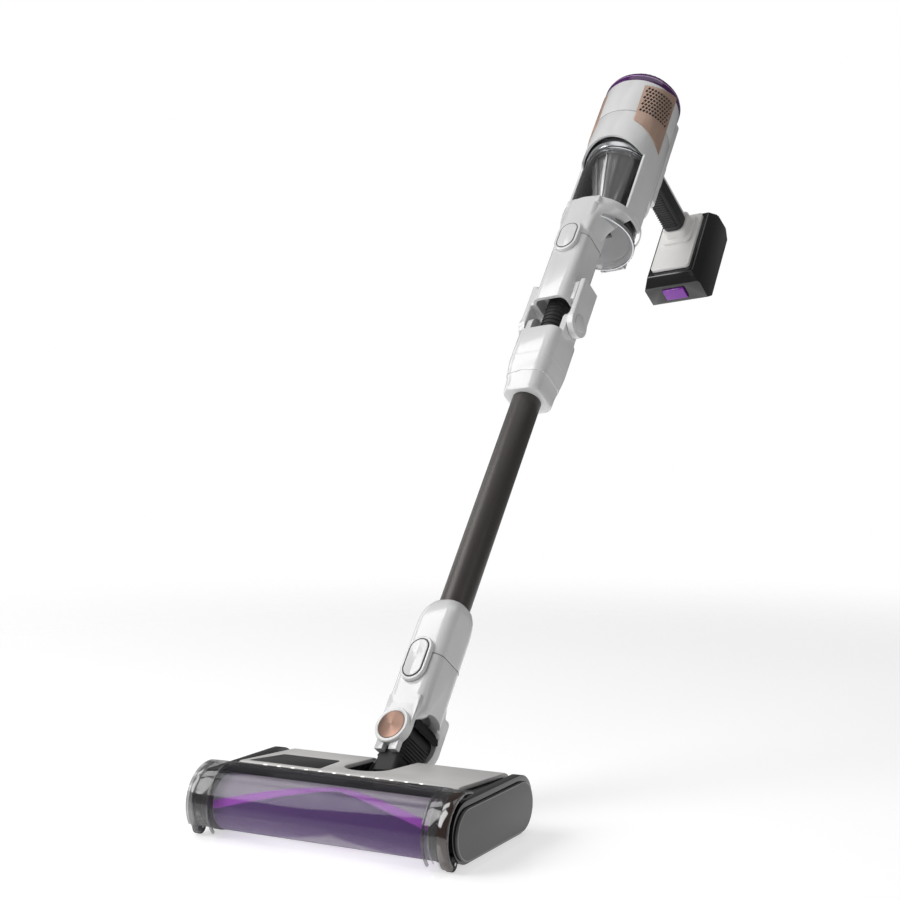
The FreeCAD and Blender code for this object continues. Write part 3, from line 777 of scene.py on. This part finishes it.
def make_neck():
    """The neck with its button, disc and boot, and the ribbed knuckle inside it."""
    soften("neck_body", "white", 1.3, 4)
    ferrule = lofted("ferrule_skin", [
        (24.0, -27.0, 20.0, 12, 128.25), (24.0, -27.0, 20.0, 12, 150), (24.0, -27.0, 20.0, 12, 166),
        (23.6, -26.6, 19.9, 12.5, 176), (22.4, -25.2, 19.7, 13, 185), (20.0, -22.6, 19.3, 13.5, 192),
        (17.7, -19.6, 18.6, 14, 197)], "wand", "white")
    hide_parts("wand_ferrule")
    oval_ring("neck_bezel", 15.0, 11.3, 21, -31.4, -26.0, NECK_BUTTON_Z, "wand", "white")
    soften("neck_button", "white", 1.1, 4)
    spring = soften("neck_button_spring", "steel", 0)
    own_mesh(spring)
    soften("knuckle", "rubber", 0.8)
    soften("disc_cap", "disc", 0.5)
    turned("disc_rim", [(15.1, -1.6), (18.6, -1.6), (19.1, 0.4), (19.1, 4.0), (18.3, 5.0), (16.4, 5.2),
                        (15.2, 4.7)],
           "wand", "white", at(WAND, (0, NECK_FRONT - 0.4, DISC_Z), math.pi / 2, "X"))
    swept("neck_button_gap", oval(11.3, 21, NECK_FRONT - 4.6, NECK_BUTTON_Z), 0.55, "wand", "seam_and_shade", WAND)
    make_seam("neck_seam", 24.05, -27.05, 20.05, 12, 127.95, "wand")
    lofted("rear_flare", [(19.05, 8, 20.1, 5, 110), (19.1, 8, 21.4, 6, 96), (19.1, 9, 25.6, 6, 82),
                          (19.1, 12, 29.8, 6, 70), (19.1, 18, 31.2, 5, 60), (19.0, 22, 31.2, 4, 50)],
           "wand", "white")
    lofted("front_fairing", [(24.05, -27.05, -3, 11.5, 71), (23.8, -27.05, -6, 10, 65),
                             (22.2, -27.05, -13, 6.5, 59.5), (20.2, -27.05, -21.8, 2.6, 54),
                             (19.1, -27.05, -22, 2.4, 48)], "wand", "white")
    folds = [(17.4, -20.8), (17.4, 20.8)]
    for k in range(14):
        folds += [(21.7, 20.8 - 3.0 * k), (19.2, 19.3 - 3.0 * k)]
    folds.append((21.7, -20.8))
    arc_piece("neck_boot", folds, 10, 170, at(WAND, (0, 0, 45.5), math.pi / 2, "X"),
              "wand", "rubber", 40, 0.25)
    rib = bead(rounded_square(14.7, -20.2, 20.2, 5, 0), 1.25, 8)
    repeated("knuckle_ribs", rib, "knuckle", "rubber", at(WAND, (0, 0, 28.0)), Along=7, Rise=3.6)
    repeated("barrel_ribs", bead_ring(15.0, 1.3, squash=0.8), "knuckle", "rubber",
             Matrix.Translation(WAND.translation) @ Matrix.Rotation(math.pi / 2, 4, "Y")
             @ Matrix.Scale(MM, 4), Along=11, Rise=3.9)


def make_seam(name, half, front, back, radius, z, body, thick=0.32):
    """A fine dark line round a rounded square section at height z."""
    points = rounded_square(half, front, back, radius, z, 8)
    return swept(name, points, thick, body, "seam_and_shade", WAND, 8)


def make_tube():
    """The straight tube of the wand."""
    soften("wand_tube", "tube", 0.3)


def make_fold():
    """The folding joint: collar, arms, ribbed hose and lever."""
    soften("fold_collar", "white", 1.2, 4)
    lofted("collar_sweep", [(23.6, -22.6, 23.4, 12, 482.5), (24.6, -23.6, 24.1, 12.5, 486),
                            (25.2, -24.2, 24.4, 13, 498), (26.6, -25.6, 25.0, 13, 510),
                            (28.4, -27.4, 25.8, 14, 522), (29.1, -28.1, 26.1, 14, 534)], "wand", "white")
    soften("fold_lever", "dark", 0.8)
    soften("fold_pins", "dark", 0.5)
    soften("fold_hose", "rubber", 0.4)
    for label, side in SIDES:
        turned("pivot_cap_" + label,
               [(0.01, 0), (9.5, 0), (10.2, 0.5), (10.2, 1.2), (9.0, 1.7), (0.01, 1.9)], "handheld", "pale",
               at(WAND, (side * 37.0, 0, FOLD_AXIS_Z), side * math.pi / 2, "Y"))


def make_upper_wand():
    """The upper wand and its latch, whose inner face is drawn out so that it clears the wand when pressed."""
    soften("upper_wand", "white", 1.1, 4)
    latch = soften("wand_latch", "white", 1.0, 4)
    inside = WAND.inverted()
    for vert in latch.data.vertices:
        spot = inside @ vert.co
        if spot.y > LATCH_INNER_Y:
            spot.y -= LATCH_SHIFT
            vert.co = WAND @ spot
    swept("latch_gap", oval(11.8, 17, -32.6, 722), 0.5, "handheld", "seam_and_shade", WAND)
    make_seam("inlet_seam", 24.05, -28.05, 19.55, 12, 727.0, "handheld")


# ---------------------------------------------------------------- handheld unit


def make_front_shell():
    """The handheld unit's housing, its seam and its lower end."""
    soften("front_shell", "white", 1.0, 3)
    soften("motor_cover", "white", 0.6, 3)
    make_ring_seam("motor_seam", 51.5, 960.0)
    make_cowl()
    turned("window_sill", [(50.2, 793.4), (51.9, 793.4), (51.9, 795.4), (50.2, 795.6)], "handheld", "white",
           UNIT)


def make_cowl():
    """The housing's lower end, where the square inlet spreads into the round unit."""
    low, high, spread_from, spread_over = 733, 795.4, 738, 50
    setback, radius, flat_back, corner = 33, 51.6, 25.5, 5
    work = bmesh.new()
    rings = []
    for k in range(19):
        z = low + (high - low) * k / 18
        grow = max(0.0, min(1.0, (z - spread_from) / spread_over)) ** 1.6
        ring = []
        for turn in full_circle(ROUND_STEPS):
            cx, sy = math.cos(turn), math.sin(turn)
            square = (abs(cx / 24.2) ** corner + abs(sy / 20.1) ** corner) ** (-1 / corner)
            ahead = setback * sy
            circle = ahead + math.sqrt(ahead * ahead - setback * setback + radius * radius)
            reach = min(circle, flat_back / sy) if sy > 0.02 else circle
            reach = square + (reach - square) * grow
            ring.append(work.verts.new((cx * reach, -8 + sy * reach, z)))
        rings.append(ring)
    bridge(work, rings)
    rounded_piece("inlet_cowl", work, WAND, "handheld", "white", 0.7)


def make_ring_seam(name, radius, z, thick=0.3):
    """A dark line round the handheld unit at height z."""
    turned(name, [(radius - 0.8, z - thick), (radius + 0.06, z - thick), (radius + 0.06, z + thick),
                  (radius - 0.8, z + thick)], "handheld", "seam_and_shade", UNIT)


def make_cup():
    """The clear cup, its silver ring, the faceted cone and the toothed door."""
    soften("dust_cup", "cup", 0)
    soften("cup_ring", "silver", 0.5)
    turned("cup_trim", [(45.2, 897), (45.9, 896.4), (46.15, 897.4), (46.15, 904.6), (45.2, 905)], "handheld",
           "silver", UNIT)
    turned("cup_trim_line", [(45.2, 892.6), (46.0, 892.6), (46.0, 894.2), (45.2, 894.2)], "handheld",
           "silver", UNIT)
    soften("cyclone_cone", "cone", 0)
    fins = bmesh.new()
    bridge(fins, [[fins.verts.new((x, y, z)) for x, y in ((far, 0.9), (far, -0.9), (near, -0.9), (near, 0.9))]
                  for near, far, z in ((9.0, 12.2, 0), (11.0, 15.2, 6), (33.0, 37.6, 84))])
    repeated("cone_fins", fins, "handheld", "cone", at(UNIT, (0, 0, 808)), Around=14, Turn=math.tau / 14)
    repeated("mesh_slots", tilted((38.2, 38.9), (-0.9, 0.9), (-4.5, 4.5)), "handheld", "dark",
             at(UNIT, (0, 0, 902)), Around=44, Turn=math.tau / 44)
    turned("cone_collar", [(36.5, 893), (40.0, 893), (40.0, 911), (36.5, 911)], "handheld", "silver", UNIT)
    arc_piece("cup_back", [(42.4, 775), (43.2, 775), (43.2, 893), (42.4, 893)], -8, 188, UNIT, "handheld",
              "dark")
    soften("cup_door", "door", 0.5)
    for label, side in SIDES:
        repeated("door_teeth_" + label, tilted((46.6, 49.6), (-1.3, 1.3), (-2.6, 2.2)), "cup_door", "smoke",
                 at(UNIT, (0, 0, 768.6), math.pi / 2 - side * 0.88, "Z"), Around=7, Turn=0.14)
    turned("door_edge", [(47.4, 765.2), (48.9, 765.4), (48.9, 766.8), (47.4, 766.8)], "cup_door", "silver",
           UNIT)
    turned("cup_foot", [(43.6, 772.2), (46.4, 772.2), (46.4, 774.6), (43.6, 774.8)], "handheld", "smoke",
           UNIT)


def make_vents():
    """The two perforated side panels, with the slots cut right through."""
    slot = tilted((48, 58), (-1.45, 1.45), (-2.4, 2.4), -0.35)
    cutters = []
    for side in (-0.5, math.pi + 0.5):
        obj = repeated("slot_cutter", slot.copy(), "handheld", "seam_and_shade",
                       at(UNIT, (0, 0, 986), side, "Z"), ride=False, Around=10, Along=8, Turn=0.086,
                       Rise=6.2, Stagger=0.5)
        cutters.append(obj)
    slot.free()
    joined = bmesh.new()
    for obj in cutters:
        joined.from_mesh(obj.data)
        bpy.data.objects.remove(obj)
    mesh = bpy.data.meshes.new("slot_cutter")
    joined.to_mesh(mesh)
    joined.free()
    cutter = bpy.data.objects.new("slot_cutter", mesh)
    bpy.context.scene.collection.objects.link(cutter)
    soften("side_vents", "copper", 0.35, 2, carve=cutter)
    # Painted shade: a thin dark sheet just behind each vent, so that the slots show dark.
    shade_sheet = [(51.3, 955), (51.56, 955), (51.56, 1012), (51.3, 1012)]
    for label, side, start in (("right", 1, 0), ("left", -1, math.pi)):
        turns = [math.radians((-54 + 49 * k / 24) * side) + start for k in range(25)]
        settle(from_bmesh("vent_liner_" + label, spin(shade_sheet, turns), UNIT), "handheld", "seam_and_shade")


def make_crown():
    """The purple top, its pale ring and the grille."""
    soften("top_crown", "purple", 1.2, 4)
    turned("crown_band", [(50.4, 1021.5), (51.65, 1021.5), (51.9, 1022.3), (51.9, 1029.4), (50.4, 1029.4)],
           "handheld", "purple", UNIT)
    turned("crown_light_ring", [(50.1, 1029.6), (51.7, 1029.6), (51.7, 1031.0), (50.1, 1031.2)], "handheld",
           "lilac", UNIT)
    # Painted shade: thin dark bars on the crown top stand in for the shade inside the grille's slots.
    repeated("crown_slots", tilted((31.5, 41.5), (-0.8, 0.8), (-0.3, 0.35)), "handheld", "seam_and_shade",
             at(UNIT, (0, 0, 1046.8), 0.04, "Z"), Around=40, Turn=math.tau / 40)


def make_handle():
    """Rear spine, grip with its ribs, the pale strip and the trigger."""
    soften("rear_spine", "pale", 1.1, 3)
    soften("grip", "grip", 0.9, 3)
    soften("grip_spine", "cover", 0.7, 3)
    soften("power_trigger", "dark", 0.8, 3)
    soften("door_pin", "steel", 0)
    rib = block((-11.0, 11.0), (-0.7, 0.7), (-0.35, 0.45))
    repeated("grip_ribs", rib, "handheld", "grip",
             at(WAND, (0, 136, 939.75), math.pi / 2, "X"), Along=17, Rise=4.0)


def make_battery():
    """The battery, its mount and its release button."""
    soften("battery_mount", "cover", 1.2, 4)
    soften("battery_case", "black", 1.3, 4)
    soften("battery_release", "button", 0.8, 3)
    rib = block((-14.0, 14.0), (-0.8, 0.8), (-0.4, 0.5))
    repeated("pack_ribs", rib, "battery", "dark",
             at(WAND, (0, 251.0, 935), -math.pi / 2, "X"))


PLAIN_PARTS = {
    "brush_shaft": "steel", "brush_bearings": "steel", "brush_motor": "winding", "brush_pulley": "dark",
    "motor_pulley": "dark", "drive_belt": "rubber", "head_duct": "rubber", "recline_pins": "steel",
    "swivel_pin": "steel", "premotor_filter": "felt", "exhaust_filter": "felt",
    "fan_motor": "winding", "impeller": "steel", "control_board": "board", "battery_cells": "cell",
}


def make_inner_parts():
    """Finishes for the working parts inside."""
    for node, material in PLAIN_PARTS.items():
        mesh = NODES[node].data
        mesh.materials.clear()
        mesh.materials.append(finish_of(material))


# ---------------------------------------------------------------- stage


def make_floor(scene, settings):
    """A pale, glossy disc that fades out into the room."""
    mesh = bpy.data.meshes.new("floor")
    work = bmesh.new()
    bmesh.ops.create_circle(work, cap_ends=True, segments=96, radius=6.0)
    work.to_mesh(mesh)
    work.free()
    floor = bpy.data.objects.new("floor", mesh)
    floor.location.z = -0.0005
    scene.collection.objects.link(floor)
    material = bpy.data.materials.new("pale_floor")
    material.use_nodes = True
    paint = Tree(material.node_tree)
    shader = material.node_tree.nodes["Principled BSDF"]
    shader.inputs["Base Color"].default_value = (0.86, 0.86, 0.865, 1)
    shader.inputs["Roughness"].default_value = 0.05
    shader.inputs["IOR"].default_value = 1.7
    place = paint.add("ShaderNodeTexCoord", out="Object")
    far = paint.add("ShaderNodeVectorMath", {"operation": "LENGTH"}, {0: place}, out="Value")
    shader.inputs["Emission Color"].default_value = (1, 1, 1, 1)
    shader.inputs["Emission Strength"].default_value = settings.floor_glow
    plug(paint.tree, shader.inputs["Alpha"], 1.0 - far.rises(0.75, 2.2))
    mesh.materials.append(material)


def make_room(scene, settings):
    """A room that the camera sees as white, and that lights the object less."""
    world = bpy.data.worlds.new("white_room")
    scene.world = world
    world.use_nodes = True
    room = Tree(world.node_tree)
    rays = room.add("ShaderNodeLightPath", out="Is Camera Ray")
    back = world.node_tree.nodes["Background"]
    plug(room.tree, back.inputs["Strength"], rays * (1.0 - settings.room_light) + settings.room_light)
    back.inputs["Color"].default_value = (1, 1, 1, 1)


def make_lights(scene, settings):
    """Soft rectangular lights, all aimed at the middle of the vacuum."""
    aim = Vector((0.0, 0.0, 0.42))
    for name, spot, width, power in (
            ("key_light", (-1.7, -1.9, 1.9), 1.3, settings.key_power),
            ("gloss_light", (-1.7, -0.5, 2.3), 0.8, settings.key_power * 0.3),
            ("top_light", (0.3, 0.3, 2.6), 1.4, settings.key_power * 0.2),
            ("strip_light", (-2.0, 0.6, 0.9), 0.9, settings.key_power * 0.12),
            ("right_light", (2.4, -1.0, 1.4), 0.7, settings.key_power * 0.1)):
        data = bpy.data.lights.new(name, "AREA")
        data.shape = "RECTANGLE"
        data.size = width
        data.size_y = width * 1.6
        data.energy = power
        light = bpy.data.objects.new(name, data)
        light.location = spot
        light.rotation_euler = (Vector(spot) - aim).to_track_quat("Z", "Y").to_euler()
        scene.collection.objects.link(light)


def make_camera(scene, settings):
    """A long lens, low in front of the vacuum and to its right."""
    lens = bpy.data.cameras.new("camera")
    lens.sensor_width = 36.0
    lens.lens = settings.focal_length
    lens.shift_x = -0.0033
    camera = bpy.data.objects.new("camera", lens)
    turn, tilt = settings.azimuth, settings.elevation
    ahead = Vector((-math.sin(turn) * math.cos(tilt), math.cos(turn) * math.cos(tilt), -math.sin(tilt)))
    camera.location = settings.camera_place
    camera.rotation_euler = (-ahead).to_track_quat("Z", "Y").to_euler()
    scene.collection.objects.link(camera)
    scene.camera = camera


def make_stage():
    """The floor, the room, the lights and the camera."""
    scene = bpy.context.scene
    for maker in (make_floor, make_room, make_lights, make_camera):
        maker(scene, scene.vacuum_stage)
    scene.view_settings.view_transform = "Standard"


# ---------------------------------------------------------------- add-on


class VacuumColours(bpy.types.PropertyGroup):
    housing: bpy.props.FloatVectorProperty(
        name="Housing", description="Colour of the glossy housings", subtype="COLOR", size=3, min=0, max=1,
        default=(0.79, 0.79, 0.79))
    accent: bpy.props.FloatVectorProperty(
        name="Accent", description="Colour of the battery's release button", subtype="COLOR", size=3, min=0,
        max=1, default=(0.19, 0.015, 0.33))


class VacuumStage(bpy.types.PropertyGroup):
    key_power: bpy.props.FloatProperty(
        name="Key light", description="Power of the largest soft light", default=48.0, min=0, unit="POWER")
    room_light: bpy.props.FloatProperty(
        name="Room light", description="Strength of the white room on the object", default=0.13, min=0, max=1)
    floor_glow: bpy.props.FloatProperty(
        name="Floor glow", description="Light that the pale floor adds of its own", default=0.56, min=0,
        max=1)
    azimuth: bpy.props.FloatProperty(
        name="Azimuth", description="Direction of the camera round the object", default=math.radians(27.66),
        subtype="ANGLE")
    elevation: bpy.props.FloatProperty(
        name="Elevation", description="Camera angle above the level", default=math.radians(0.71),
        subtype="ANGLE")
    focal_length: bpy.props.FloatProperty(
        name="Lens", description="Focal length in millimetres", default=59.96, min=10)
    camera_place: bpy.props.FloatVectorProperty(
        name="Camera place", description="Where the camera stands", subtype="TRANSLATION",
        default=(0.72397, -1.5953, 0.37466))


def piece_operator(idname, label, note, *makers):
    """An operator class that runs its makers in order."""

    def execute(self, context):
        for maker in makers:
            maker()
        return {"FINISHED"}

    name = "VACUUM_OT_" + idname
    return type(name, (bpy.types.Operator,), {
        "__doc__": note, "bl_idname": "vacuum." + idname, "bl_label": label,
        "bl_options": {"REGISTER", "UNDO"},
        "execute": execute})


OPERATORS = (
    piece_operator("stage", "Stage", "Make the floor, the lights and the camera", make_stage),
    piece_operator("head", "Floor head", "Make the head's shell, window, lamps and screws", make_head_shell,
                   make_head_details),
    piece_operator("brush", "Brush roll", "Make the pile, the tuft rows and the rollers", make_brush,
                   make_rollers),
    piece_operator("neck", "Neck", "Make the neck, its button, disc and ribbed knuckle", make_neck),
    piece_operator("wand", "Wand", "Make the tube, the fold joint and the upper wand", make_tube, make_fold,
                   make_upper_wand),
    piece_operator("shell", "Handheld shell", "Make the housing, its vents and its crown", make_front_shell,
                   make_vents, make_crown),
    piece_operator("cup", "Dust cup", "Make the cup, its ring, the cone and the door", make_cup),
    piece_operator("handle", "Handle", "Make the rear spine, the grip and the trigger", make_handle),
    piece_operator("battery", "Battery", "Make the battery, its plate and its release button", make_battery),
    piece_operator("inner", "Inner parts", "Give the working parts inside their finishes", make_inner_parts),
)


class VACUUM_PT_pieces(bpy.types.Panel):
    """Lists the vacuum's pieces in the sidebar"""

    bl_idname = "VACUUM_PT_pieces"
    bl_label = "Stick vacuum"
    bl_space_type = "VIEW_3D"
    bl_region_type = "UI"
    bl_category = "Vacuum"

    def draw(self, context):
        column = self.layout.column()
        for group in (context.scene.vacuum_colours, context.scene.vacuum_stage):
            for name in group.__annotations__:
                column.prop(group, name)
        for operator in OPERATORS:
            column.operator(operator.bl_idname)


CLASSES = (VacuumColours, VacuumStage) + OPERATORS + (VACUUM_PT_pieces,)


def register():
    for each in CLASSES:
        bpy.utils.register_class(each)
    bpy.types.Scene.vacuum_colours = bpy.props.PointerProperty(type=VacuumColours)
    bpy.types.Scene.vacuum_stage = bpy.props.PointerProperty(type=VacuumStage)


def unregister():
    del bpy.types.Scene.vacuum_stage
    del bpy.types.Scene.vacuum_colours
    for each in reversed(CLASSES):
        bpy.utils.unregister_class(each)


def main():
    """Makes every piece in order and writes the two sizes side by side."""
    register()
    for operator in OPERATORS:
        getattr(bpy.ops.vacuum, operator.bl_idname.split(".")[1])()


if __name__ == "__main__":
    main()
